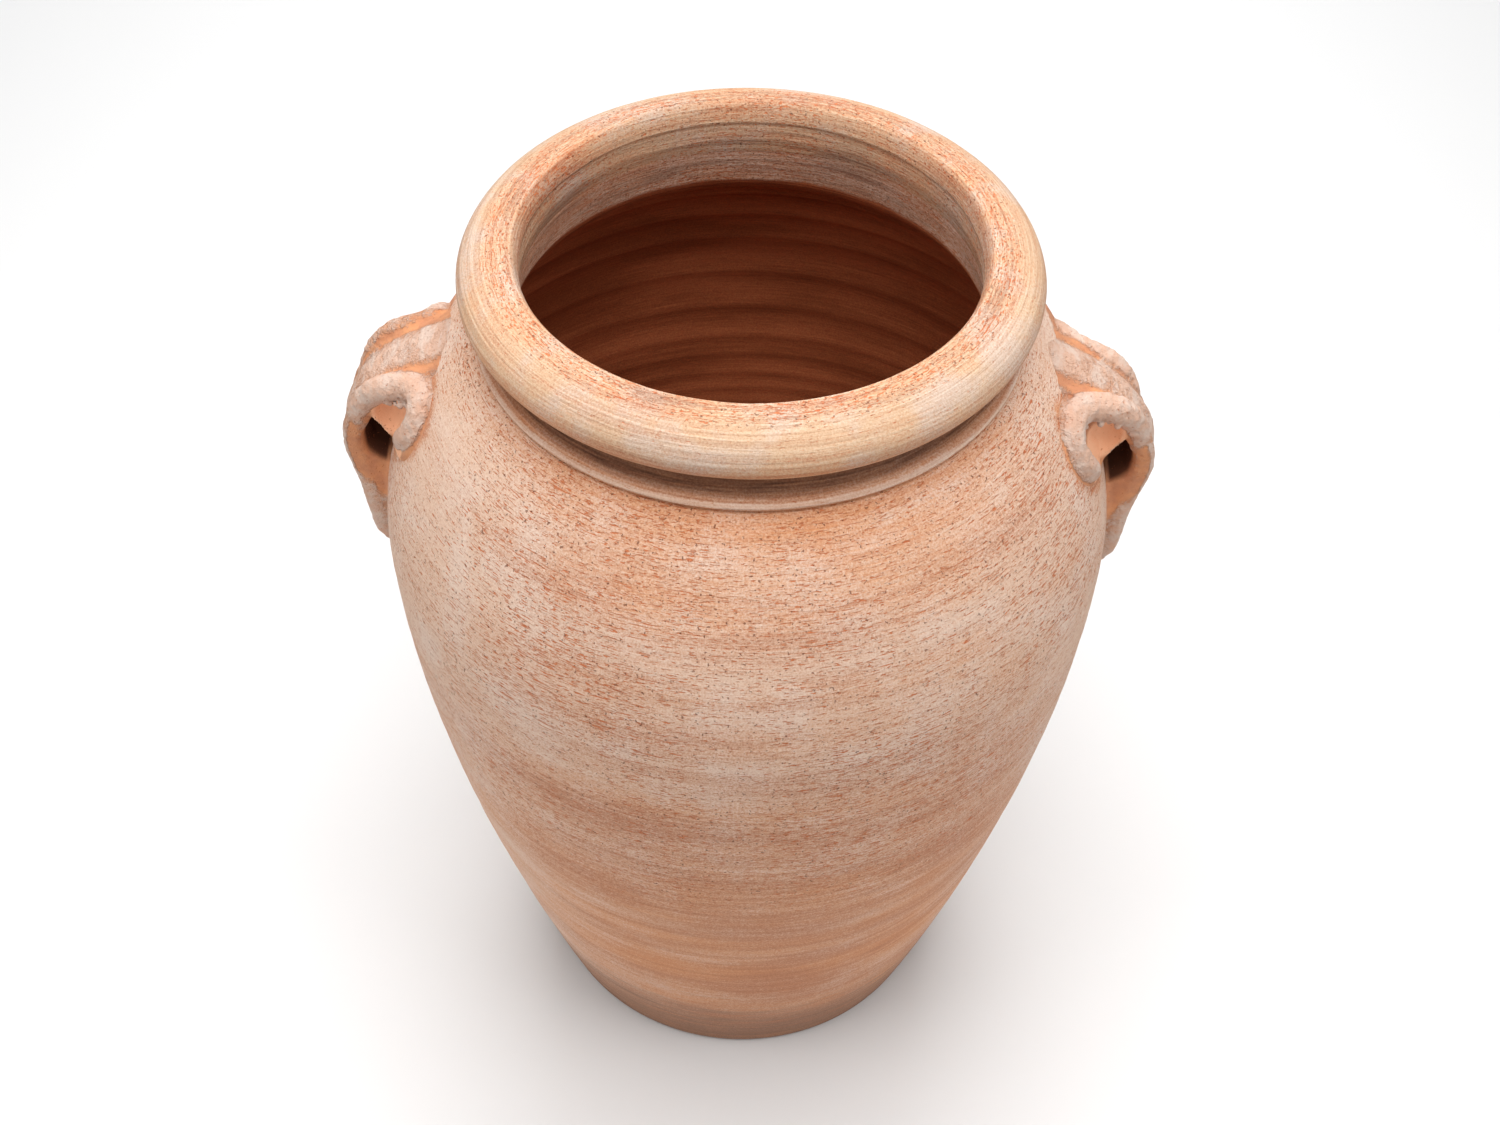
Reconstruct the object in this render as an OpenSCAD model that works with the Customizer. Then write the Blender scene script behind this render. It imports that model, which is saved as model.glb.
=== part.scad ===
// A large terracotta oil jar, built up from thrown clay sections that are luted edge to edge:
// base slab, three wall sections, neck collar, rim roll, and two ribbed strap handles.
// The origin is the middle of the base, +Z is up, and the handles stand at +X and -X.

/* [Body] */
// Height from the ground to the top of the rim
jar_h = 502; // [480:1:540]
// Outer radius of the base
foot_r = 113.5; // [100:0.5:125]
// Outer radius at the belly
belly_r = 179.5; // [170:0.5:190]
// Height of the belly above the ground
belly_z = 342; // [320:1:360]
// Outer radius where the shoulder meets the neck
neck_r = 126; // [124:0.5:130]
// Thickness of the thrown wall
wall_t = 16; // [12:0.5:18]
// Thickness of the base slab at its middle
base_t = 18; // [14:1:26]
// Height of the joint between the lower and belly sections
lower_joint_z = 176; // [120:1:240]
// Depth of the tongue and groove at each luted joint
tongue_h = 5; // [2:0.5:6]

/* [Neck and rim] */
// Height from the shoulder's top edge to the top of the rim
neck_h = 45; // [44:1:52]
// How far the thin ridge round the neck stands out past the shoulder
ridge_out = 1.5; // [0.5:0.25:3]
// Height of the ridge's edge above the shoulder
ridge_up = 2.5; // [1.5:0.25:4]
// Radius to the highest line of the rim
crest_r = 109.5; // [108.5:0.5:111]
// Width of the rim roll outside its highest line
roll_out = 24; // [22:0.5:26]
// Width of the rim roll inside its highest line
roll_in = 5.2; // [4:0.2:6]
// Height of the rim roll above its widest line
roll_up = 16; // [14:0.5:17]
// Depth of the rim roll below its widest line
roll_down = 13.7; // [12:0.1:14]

/* [Handles] */
// How far the middle of the strap stands from the jar's axis
strap_reach = 191.5; // [187:0.5:193]
// Half the width of the strap where it leaves the shoulder
strap_root_w = 27; // [24:1:30]
// Half the width of the strap at its furthest point
strap_mid_w = 21; // [18:1:24]
// Half the width of the strap at its lower tip
strap_tip_w = 12; // [9:1:15]
// Thickness of the strap at the shoulder, ribs included
strap_t = 13; // [11:0.5:15]
// Height of the ribs above the grooves between them
rib_h = 3; // [2:0.2:4]
// How far the curl at the front of the upper root spreads round the jar, in degrees
front_curl = 23; // [19:0.5:26]
// The same for the curl at the back
back_curl = 19; // [17:0.5:24]
// Radius of the curl at each side of the upper root
curl_r = 6.5; // [5:0.5:7.5]

/* [Hidden] */
$fn = 96;

CLAY = "peru";
PALE_CLAY = "burlywood";
WARM_CLAY = "sandybrown";

CURVE_STEPS = 24;     // straight steps in each long curve of the wall
ARC_STEPS = 8;        // straight steps in each quarter of the rim roll
foot_edge = 4;        // radius of the worn edge under the base
foot_lean = 17;       // lean of the wall out of the base, degrees from upright
shoulder_slope = 27.5; // slope of the shoulder at the neck, degrees from level
shoulder_z = jar_h - neck_h;
roll_z = jar_h - roll_up;

// Curves and joints of the thrown wall ------------------------------------------------------

function mix(a, b, t) = a + (b - a) * t;

function bezier(a, b, c, d, t) =
    pow(1 - t, 3) * a + 3 * t * pow(1 - t, 2) * b + 3 * t * t * (1 - t) * c + pow(t, 3) * d;

// The outer side of the wall, as [radius, height] from the foot to the neck
foot_pull = 0.44 * belly_z;
belly_pull_down = 0.23 * belly_z;
belly_pull_up = 0.41 * (shoulder_z - belly_z);
neck_pull = 0.47 * (belly_r - neck_r);

outer_side = concat(
    [for (i = [0 : CURVE_STEPS])
        bezier(
            [foot_r, 0],
            [foot_r, 0] + foot_pull * [sin(foot_lean), cos(foot_lean)],
            [belly_r, belly_z - belly_pull_down],
            [belly_r, belly_z],
            i / CURVE_STEPS)],
    [for (i = [1 : CURVE_STEPS])
        bezier(
            [belly_r, belly_z],
            [belly_r, belly_z + belly_pull_up],
            [neck_r, shoulder_z] + neck_pull * [cos(shoulder_slope), -sin(shoulder_slope)],
            [neck_r, shoulder_z],
            i / CURVE_STEPS)]
);
radius_by_height = [for (p = outer_side) [p[1], p[0]]];

function radius_at(z) = lookup(z, radius_by_height);

// Unit vector out of the wall at a height
function normal_at(z) =
    let (
        low = max(0, z - 1),
        high = min(shoulder_z, z + 1),
        across = [high - low, radius_at(low) - radius_at(high)]
    )
    across / norm(across);

function outer_point(z) = [radius_at(z), z];
function inner_point(z) = outer_point(z) - wall_t * normal_at(z);

// The peak of the tongue on a section's upper edge
function tongue_point(z) =
    let (n = normal_at(z))
    outer_point(z) - n * wall_t / 2 + tongue_h * [-n[1], n[0]];

module wall_section(z_low, z_high, steps) {
    heights = [for (i = [0 : steps]) mix(z_low, z_high, i / steps)];
    rotate_extrude()
        polygon(concat(
            [for (z = heights) outer_point(z)],
            [tongue_point(z_high)],
            [for (i = [steps : -1 : 0]) inner_point(heights[i])],
            [tongue_point(z_low)]
        ));
}

// Body sections -------------------------------------------------------------------------------

module base_slab() {
    edge = [for (a = [0 : 22.5 : 90]) foot_edge * [sin(a) - 1, 1 - cos(a)]];
    color(CLAY)
        rotate_extrude()
            polygon(concat(
                [[0, 0]],
                [for (p = edge) [radius_at(p[1]), 0] + p],
                [outer_point(base_t), tongue_point(base_t), inner_point(base_t)],
                [[inner_point(base_t)[0] - wall_t, base_t], [0, base_t]]
            ));
}

module lower_wall() {
    color(CLAY) wall_section(base_t, lower_joint_z, 12);
}

module belly_wall() {
    color(WARM_CLAY) wall_section(lower_joint_z, belly_z, 12);
}

module shoulder_wall() {
    color(CLAY) wall_section(belly_z, shoulder_z, 18);
}

// Neck and rim --------------------------------------------------------------------------------

collar_top_r = crest_r + 8;      // outer radius of the collar where it meets the roll
mouth_r = crest_r - roll_in;     // smallest radius of the mouth
lip_r = crest_r - 0.1;           // inner radius at the lower edge of the neck
lip_z = shoulder_z + 3;          // height of that edge
lip_under = [lip_r + 1.6, shoulder_z - 5]; // where the underside of the lip turns outwards
seat_up = 17;                    // height of the roll's inner seat above the shoulder's edge

// Angle below level at which the roll's outline reaches the collar
collar_angle = acos((collar_top_r - crest_r) / roll_out);
collar_top = [collar_top_r, roll_z - roll_down * sin(collar_angle)];
seat_in_z = shoulder_z + seat_up;
seat_in = [mix(lip_r, mouth_r, (seat_in_z - lip_z) / (roll_z - lip_z)), seat_in_z];
seat_tongue = (collar_top + seat_in) / 2 + [0, tongue_h];

module neck_collar() {
    ridge = [neck_r + ridge_out, shoulder_z + ridge_up];
    cove = [for (i = [0 : ARC_STEPS])
        bezier(
            ridge,
            ridge + [-5, 1.5],
            collar_top + [0.5, -7],
            collar_top,
            i / ARC_STEPS)];
    color(WARM_CLAY)
        rotate_extrude()
            polygon(concat(
                [outer_point(shoulder_z)],
                cove,
                [seat_tongue, seat_in, [lip_r, lip_z], lip_under],
                [inner_point(shoulder_z), tongue_point(shoulder_z)]
            ));
}

module rim_roll() {
    below = [for (i = [0 : ARC_STEPS])
        let (a = mix(-collar_angle, 0, i / ARC_STEPS))
        [crest_r + roll_out * cos(a), roll_z + roll_down * sin(a)]];
    over = [for (i = [1 : 2 * ARC_STEPS])
        let (a = 90 * i / (2 * ARC_STEPS))
        [crest_r + roll_out * cos(a), roll_z + roll_up * sin(a)]];
    inside = [for (i = [1 : ARC_STEPS])
        let (a = 90 + 90 * i / ARC_STEPS)
        [crest_r + roll_in * cos(a), roll_z + roll_up * sin(a)]];
    color(PALE_CLAY)
        rotate_extrude()
            polygon(concat(below, over, inside, [seat_in, seat_tongue]));
}

// Handles -------------------------------------------------------------------------------------

STRAP_STEPS = 12; // steps along each half of the strap
SIDE_STEPS = 5;   // steps across each side rib
RIB_STEPS = 8;    // steps across the middle rib
CURL_STEPS = 12;  // steps along each curl
CURL_SIDES = 12;  // sides of the curl's section

apex_z = jar_h - 116;  // height at which the strap stands out furthest
root_z = jar_h - 68;   // height of the strap's middle line where it enters the shoulder
tip_z = jar_h - 195;   // height of the lower tip
strap_root = [radius_at(root_z) - 11, root_z];
strap_tip = [radius_at(tip_z) + 5, tip_z];

// Middle line of the strap, as [x, z], for s from 0 at the shoulder to 1 at the lower tip
function strap_line(s) =
    s < 0.5
        ? bezier(
            strap_root,
            strap_root + [22, -6],
            [strap_reach, apex_z + 24],
            [strap_reach, apex_z],
            2 * s)
        : bezier(
            [strap_reach, apex_z],
            [strap_reach, apex_z - 20],
            strap_tip + [0.5, 40],
            strap_tip,
            2 * s - 1);

function strap_out(s) =
    let (
        a = strap_line(max(0, s - 0.01)),
        b = strap_line(min(1, s + 0.01)),
        along = (b - a) / norm(b - a)
    )
    [-along[1], along[0]];

// Rounds the strap off at its lower tip
function tip_round(s) = s < 0.88 ? 1 : sqrt(1 - pow((s - 0.88) / 0.125, 2));

// Half width of the strap, half width of its middle rib, and its front and back depths along s
strap_widths = [[0, strap_root_w], [0.5, strap_mid_w], [0.85, strap_tip_w], [1, strap_tip_w]];
strap_fronts = [[0, strap_t / 2], [0.5, strap_t / 2 - 1], [1, strap_t / 2 - 1.5]];
strap_backs = [[0, strap_t], [0.18, strap_t * 0.7], [0.35, strap_t / 2 - 1], [1, strap_t / 2 - 2]];

// One section of the strap: across is along Y, and out is away from the jar
function strap_section(s) =
    let (
        w = tip_round(s) * lookup(s, strap_widths),
        front = tip_round(s) * lookup(s, strap_fronts),
        back = tip_round(s) * lookup(s, strap_backs),
        groove = 0.56 * w,
        rib = rib_h * tip_round(s),
        side = [for (i = [0 : SIDE_STEPS - 1])
            let (u = i / SIDE_STEPS)
            [-mix(w, groove, u), front - rib * (1 - sin(mix(140, 0, u)))]],
        middle = [for (i = [0 : RIB_STEPS])
            let (u = 2 * i / RIB_STEPS - 1)
            [u * groove, front - rib * (1 - cos(90 * u))]]
    )
    concat(
        side,
        middle,
        [for (i = [SIDE_STEPS - 1 : -1 : 0]) [-side[i][0], side[i][1]]],
        [[w, -0.4 * back], [0.8 * w, -back], [-0.8 * w, -back], [-w, -0.4 * back]]
    );

function strap_ring(s) =
    let (at = strap_line(s), out = strap_out(s))
    [for (p = strap_section(s)) [at[0] + out[0] * p[1], p[0], at[1] + out[1] * p[1]]];

// A point over the shoulder, at an angle round the jar, a height and a distance off the wall
function over_shoulder(turn, z, lift) =
    let (r = radius_at(z) + lift)
    [r * cos(turn), r * sin(turn), z];

// Middle line of a curl, which leaves the strap's edge and turns down over the shoulder.
// spread is how far round the jar it reaches, in degrees.
function curl_line(s, spread) =
    let (start = strap_line(0.24))
    bezier(
        [start[0], strap_root_w - 8, start[1] - 1],
        over_shoulder(spread / 2, jar_h - 60, 10),
        over_shoulder(spread, jar_h - 71, 0),
        over_shoulder(0.58 * spread, jar_h - 100, -1),
        s);

function curl_ring(s, spread) =
    let (
        a = curl_line(max(0, s - 0.01), spread),
        b = curl_line(min(1, s + 0.01), spread),
        along = (b - a) / norm(b - a),
        off_wall = [0.8, 0.25, 0.55],
        side = cross(along, off_wall) / norm(cross(along, off_wall)),
        up = cross(side, along),
        r = curl_r * (1 - 0.5 * pow(s, 3))
    )
    [for (i = [0 : CURL_SIDES - 1])
        let (a = 360 * i / CURL_SIDES)
        curl_line(s, spread) + r * (cos(a) * side + sin(a) * up)];

// A closed tube through rings that all have the same number of points
module skin(rings) {
    n = len(rings[0]);
    last = (len(rings) - 1) * n;
    polyhedron(
        points = [for (ring = rings) each ring],
        faces = concat(
            [[for (j = [n - 1 : -1 : 0]) j]],
            [for (i = [0 : len(rings) - 2], j = [0 : n - 1])
                let (k = (j + 1) % n)
                each [
                    [i * n + j, (i + 1) * n + k, (i + 1) * n + j],
                    [i * n + j, i * n + k, (i + 1) * n + k]
                ]],
            [[for (j = [0 : n - 1]) last + j]]
        ),
        convexity = 6
    );
}

// The whole of the jar's wall, filled in, which the roots of a handle are cut to
module filled_wall() {
    rotate_extrude()
        polygon(concat(
            [[0, belly_z - 100]],
            [for (i = [0 : 8]) outer_point(mix(belly_z - 100, belly_z, i / 8))],
            [for (i = [1 : 18]) outer_point(mix(belly_z, shoulder_z, i / 18))],
            [[0, shoulder_z]]
        ));
}

module handle() {
    difference() {
        union() {
            skin([for (i = [0 : 2 * STRAP_STEPS]) strap_ring(i / (2 * STRAP_STEPS))]);
            skin([for (i = [0 : CURL_STEPS]) curl_ring(i / CURL_STEPS, back_curl)]);
            mirror([0, 1, 0])
                skin([for (i = [0 : CURL_STEPS]) curl_ring(i / CURL_STEPS, front_curl)]);
        }
        filled_wall();
    }
}

module handle_right() {
    color(PALE_CLAY) handle();
}

module handle_left() {
    color(PALE_CLAY) mirror([1, 0, 0]) handle();
}

base_slab();
lower_wall();
belly_wall();
shoulder_wall();
neck_collar();
rim_roll();
handle_left();
handle_right();
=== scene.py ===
"""Terracotta oil jar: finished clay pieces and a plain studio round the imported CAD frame."""

import math

import bpy
import numpy as np
from mathutils import Matrix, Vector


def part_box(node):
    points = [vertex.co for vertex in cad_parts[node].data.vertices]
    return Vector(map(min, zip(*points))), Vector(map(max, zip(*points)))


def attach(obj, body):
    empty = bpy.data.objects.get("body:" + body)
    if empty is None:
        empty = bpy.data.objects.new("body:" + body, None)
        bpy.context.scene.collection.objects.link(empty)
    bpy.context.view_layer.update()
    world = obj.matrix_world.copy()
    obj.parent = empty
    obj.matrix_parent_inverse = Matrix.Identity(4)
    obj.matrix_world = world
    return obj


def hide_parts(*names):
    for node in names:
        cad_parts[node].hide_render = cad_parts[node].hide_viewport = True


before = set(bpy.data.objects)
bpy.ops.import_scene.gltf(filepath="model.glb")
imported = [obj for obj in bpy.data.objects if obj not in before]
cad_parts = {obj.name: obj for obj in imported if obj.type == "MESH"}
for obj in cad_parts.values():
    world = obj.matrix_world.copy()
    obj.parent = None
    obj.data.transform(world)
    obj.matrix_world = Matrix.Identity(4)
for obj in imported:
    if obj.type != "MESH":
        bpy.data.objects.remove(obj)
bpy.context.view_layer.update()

MM = 0.001


def box_mm(node):
    low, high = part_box(node)
    return np.array(low) / MM, np.array(high) / MM


# ---- Sizes, in millimetres: the main ones come from the frame, the rest repeat the CAD's curves ----

JAR_H = box_mm("rim_roll")[1][2]
BELLY_R = box_mm("belly_wall")[1][0]
RIM_R = box_mm("rim_roll")[1][0]
ROLL_OUT = 24.0
CREST_R = RIM_R - ROLL_OUT
BELLY_Z = 342.0
FOOT_R = 113.5
NECK_R = 126.0
WALL_T = 16.0
FLOOR_T = 18.0
LOWER_JOINT_Z = 176.0
SHOULDER_Z = JAR_H - 45.0
RIDGE_Z = SHOULDER_Z + 2.5
ROLL_Z = JAR_H - 16.0
ROLL_IN = 5.2
ROLL_UP = 16.0
ROLL_DOWN = 13.7
TONGUE = 5.0
FOOT_LEAN = math.radians(17)
SHOULDER_SLOPE = math.radians(27.5)

TURNS = 300  # steps round the jar


# ---- Repeatable noise ----


def lattice(i, j, k, seed):
    """A repeatable random number from -1 to 1 for each whole-numbered point."""
    mask = np.int64(0xFFFFFFFF)
    h = (i * 374761393 + j * 668265263 + k * 1103515245 + seed * 974634777) & mask
    h = ((h ^ (h >> 13)) * 1274126177) & mask
    h = ((h ^ (h >> 16)) * 668265263) & mask
    return ((h >> 8) & 0xFFFF) / 32767.5 - 1.0


def noise(p, seed=0):
    """Smooth noise from -1 to 1 at points p, whose last axis is x, y, z, with features one unit across."""
    p = np.asarray(p, float)
    base = np.floor(p)
    f = p - base
    f = f * f * f * (f * (f * 6 - 15) + 10)
    i, j, k = (base[..., a].astype(np.int64) for a in range(3))
    total = 0.0
    for a in (0, 1):
        for b in (0, 1):
            for c in (0, 1):
                weight = (
                    (f[..., 0] if a else 1 - f[..., 0])
                    * (f[..., 1] if b else 1 - f[..., 1])
                    * (f[..., 2] if c else 1 - f[..., 2])
                )
                total = total + weight * lattice(i + a, j + b, k + c, seed)
    return total


def layered(p, octaves, seed=0):
    """Several octaves of noise on top of each other, still within about -1 to 1."""
    p = np.asarray(p, float)
    total, size, span = 0.0, 1.0, 0.0
    for n in range(octaves):
        total = total + size * noise(p * 2**n, seed + 31 * n)
        span += size
        size /= 2
    return total / span


def smooth(low, high, x):
    t = np.clip((np.asarray(x, float) - low) / (high - low), 0, 1)
    return t * t * (3 - 2 * t)


def mix(a, b, t):
    return a + (b - a) * t


def bezier(a, b, c, d, t):
    a, b, c, d = (np.asarray(v, float) for v in (a, b, c, d))
    t = np.asarray(t, float)[..., None]
    return (1 - t) ** 3 * a + 3 * t * (1 - t) ** 2 * b + 3 * t * t * (1 - t) * c + t**3 * d


# ---- The jar's section: a line of [radius, height] up the outside and down the inside ----


def outer_side():
    """The outside of the wall from the foot to the neck."""
    t = np.linspace(0, 1, 400)
    foot, belly, neck = (FOOT_R, 0), (BELLY_R, BELLY_Z), (NECK_R, SHOULDER_Z)
    pull = 0.44 * BELLY_Z
    low = bezier(
        foot,
        (FOOT_R + pull * math.sin(FOOT_LEAN), pull * math.cos(FOOT_LEAN)),
        (BELLY_R, BELLY_Z - 0.23 * BELLY_Z),
        belly,
        t,
    )
    neck_pull = 0.47 * (BELLY_R - NECK_R)
    high = bezier(
        belly,
        (BELLY_R, BELLY_Z + 0.41 * (SHOULDER_Z - BELLY_Z)),
        (
            NECK_R + neck_pull * math.cos(SHOULDER_SLOPE),
            SHOULDER_Z - neck_pull * math.sin(SHOULDER_SLOPE),
        ),
        neck,
        t,
    )
    return np.concatenate([low, high[1:]])


SIDE = outer_side()


def radius_at(z):
    return np.interp(z, SIDE[:, 1], SIDE[:, 0])


def side_normal(z):
    """Unit vector out of the wall at a height, as [radius, height]."""
    low, high = max(0.0, z - 1), min(SHOULDER_Z, z + 1)
    across = np.array([high - low, radius_at(low) - radius_at(high)])
    return across / np.hypot(*across)


def outer_point(z):
    return np.array([radius_at(z), z])


def inner_point(z):
    return outer_point(z) - WALL_T * side_normal(z)


def tongue_point(z):
    n = side_normal(z)
    return outer_point(z) - n * WALL_T / 2 + TONGUE * np.array([-n[1], n[0]])


COLLAR_TOP_R = CREST_R + 8
COLLAR_ANGLE = math.acos((COLLAR_TOP_R - CREST_R) / ROLL_OUT)
COLLAR_TOP = np.array([COLLAR_TOP_R, ROLL_Z - ROLL_DOWN * math.sin(COLLAR_ANGLE)])
MOUTH_R = CREST_R - ROLL_IN
LIP_R = CREST_R - 0.1
LIP_Z = SHOULDER_Z + 3
SEAT_IN_Z = SHOULDER_Z + 17
SEAT_IN = np.array([mix(LIP_R, MOUTH_R, (SEAT_IN_Z - LIP_Z) / (ROLL_Z - LIP_Z)), SEAT_IN_Z])
SEAT_TONGUE = (COLLAR_TOP + SEAT_IN) / 2 + [0, TONGUE]


def resample(points, step):
    """Points at even distances along a line, both ends kept."""
    points = np.asarray(points, float)
    run = np.concatenate([[0], np.cumsum(np.hypot(*np.diff(points, axis=0).T))])
    count = max(2, int(round(run[-1] / step)) + 1)
    at = np.linspace(0, run[-1], count)
    return np.stack([np.interp(at, run, points[:, a]) for a in (0, 1)], 1)


def rounded(points, radius):
    """A line with every inner corner cut by a short curve."""
    points = [np.asarray(p, float) for p in points]
    out = [points[0]]
    for a, b, c in zip(points, points[1:], points[2:]):
        reach = min(radius, 0.45 * np.hypot(*(a - b)), 0.45 * np.hypot(*(c - b)))
        start = b + (a - b) / np.hypot(*(a - b)) * reach
        end = b + (c - b) / np.hypot(*(c - b)) * reach
        out.extend(bezier(start, mix(start, b, 0.6), mix(end, b, 0.6), end, np.linspace(0, 1, 6)))
    out.append(points[-1])
    return np.array(out)


def side_between(low, high):
    z = np.linspace(low, high, 200)
    return np.stack([radius_at(z), z], 1)


def arc(a0, a1, across, up, down=None):
    """Part of the rim roll's outline between two angles, in degrees above level."""
    a = np.radians(np.linspace(a0, a1, 60))
    height = np.where(np.sin(a) > 0, up, down if down is not None else up)
    return np.stack([CREST_R + across * np.cos(a), ROLL_Z + height * np.sin(a)], 1)


def section():
    """The parts of the section between joints, in order: (node, points, step)."""
    edge = np.radians(np.linspace(0, 90, 10))
    foot = np.stack([radius_at(4 * (1 - np.cos(edge))) + 4 * (np.sin(edge) - 1), 4 * (1 - np.cos(edge))], 1)
    ridge = np.array([NECK_R + 1.5, RIDGE_Z])
    cove = bezier(ridge, ridge + [-5, 1.5], COLLAR_TOP + [0.5, -7], COLLAR_TOP, np.linspace(0, 1, 40))
    ridge_edge = rounded([outer_point(SHOULDER_Z), ridge + [0.1, -2.0], ridge, cove[4]], 0.7)
    collar = np.concatenate([ridge_edge, cove[5:]])
    under = arc(-math.degrees(COLLAR_ANGLE), 0, ROLL_OUT, ROLL_UP, ROLL_DOWN)
    over = arc(0, 90, ROLL_OUT, ROLL_UP)
    inside = arc(90, 150, ROLL_IN, ROLL_UP)
    step_top, step_foot = (MOUTH_R + 0.3, JAR_H - 10.4), (MOUTH_R + 0.9, JAR_H - 11.6)
    step = rounded([inside[-1], step_top, step_foot, (MOUTH_R + 0.7, ROLL_Z - 4), SEAT_IN], 0.5)
    lip = rounded(
        [SEAT_IN, (LIP_R, LIP_Z), (LIP_R + 1.6, SHOULDER_Z - 5), inner_point(SHOULDER_Z)],
        2.0,
    )
    heights = [FLOOR_T, LOWER_JOINT_Z, BELLY_Z, SHOULDER_Z]
    inner = [
        np.array([inner_point(z) for z in np.linspace(high, low, 120)])
        for low, high in zip(heights, heights[1:])
    ]
    corner = inner_point(FLOOR_T)
    sweep, level = (corner[0] - 14, FLOOR_T), (corner[0] - 30, FLOOR_T)
    floor = bezier(corner, corner - [3, 7], sweep, level, np.linspace(0, 1, 20))
    return [
        ("base_slab", np.concatenate([[(0.0, 0.0)], foot, side_between(4, FLOOR_T)[1:]]), 2.0),
        ("lower_wall", side_between(FLOOR_T, LOWER_JOINT_Z), 1.2),
        ("belly_wall", side_between(LOWER_JOINT_Z, BELLY_Z), 1.1),
        ("shoulder_wall", side_between(BELLY_Z, SHOULDER_Z), 1.0),
        ("neck_collar", collar, 0.5),
        ("rim_roll", np.concatenate([under, over[1:], inside[1:-1], step]), 0.7),
        ("neck_collar", lip, 0.8),
        ("shoulder_wall", inner[2], 1.6),
        ("belly_wall", inner[1], 1.6),
        ("lower_wall", inner[0], 2.0),
        ("base_slab", np.concatenate([floor, [(0.0, FLOOR_T)]]), 2.5),
    ]


PARTS = section()
JOINT_TONGUES = {
    ("base_slab", "lower_wall"): tongue_point(FLOOR_T),
    ("lower_wall", "belly_wall"): tongue_point(LOWER_JOINT_Z),
    ("belly_wall", "shoulder_wall"): tongue_point(BELLY_Z),
    ("shoulder_wall", "neck_collar"): tongue_point(SHOULDER_Z),
    ("neck_collar", "rim_roll"): SEAT_TONGUE,
}


def joined_section():
    """One line through every part, and for each part the first and last row that it covers."""
    rows, spans = [], []
    for name, points, step in PARTS:
        line = resample(points, step)
        if rows:
            line = line[1:]
            start = len(rows) - 1
        else:
            start = 0
        rows.extend(line)
        spans.append((name, start, len(rows) - 1))
    return np.array(rows), spans


ROWS, SPANS = joined_section()
ALONG = np.concatenate([[0], np.cumsum(np.hypot(*np.diff(ROWS, axis=0).T))])


def row_normals(rows):
    along = np.gradient(rows, axis=0)
    normal = np.stack([along[:, 1], -along[:, 0]], 1)
    return normal / np.hypot(normal[:, 0], normal[:, 1])[:, None]


ROW_NORMALS = row_normals(ROWS)
# Index of the row at the crest, which parts the outside from the inside
CREST_ROW = int(np.argmax(ROWS[:, 1]))
OUTSIDE = np.arange(len(ROWS)) <= CREST_ROW

TURN = np.linspace(0, 2 * math.pi, TURNS, endpoint=False)
ROUND = np.stack([np.sin(TURN), -np.cos(TURN)], 1)


def wheel(grip, pitch, seed, octaves=1):
    """Noise on the whole jar, stretched round it. grip is features per radian, pitch their height in mm."""
    p = np.empty((len(ROWS), TURNS, 3))
    p[..., :2] = (ROUND * grip)[None]
    p[..., 2] = (ALONG / pitch)[:, None]
    return layered(p, octaves, seed)


# Heights of the sharp ridges between the grooves that the potter's fingers left inside
FINGER_RIDGES = np.array(
    [30, 47, 62, 80, 95, 113, 128, 146, 161, 178, 193, 208, 221]
    + [235, 249, 262, 272, 283, 296, 309, 331, 356, 383, 404, 428, 446],
    float,
)


def finger_grooves(z):
    """How deep the inside is pressed at a height, from 0 on a ridge to 1 in the middle of a groove."""
    z = np.clip(z, FINGER_RIDGES[0], FINGER_RIDGES[-1])
    k = np.clip(np.searchsorted(FINGER_RIDGES, z) - 1, 0, len(FINGER_RIDGES) - 2)
    u = (z - FINGER_RIDGES[k]) / (FINGER_RIDGES[k + 1] - FINGER_RIDGES[k])
    width = FINGER_RIDGES[k + 1] - FINGER_RIDGES[k]
    return (1 - (2 * u - 1) ** 2) * np.clip(width / 22, 0.45, 1.1)


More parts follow.
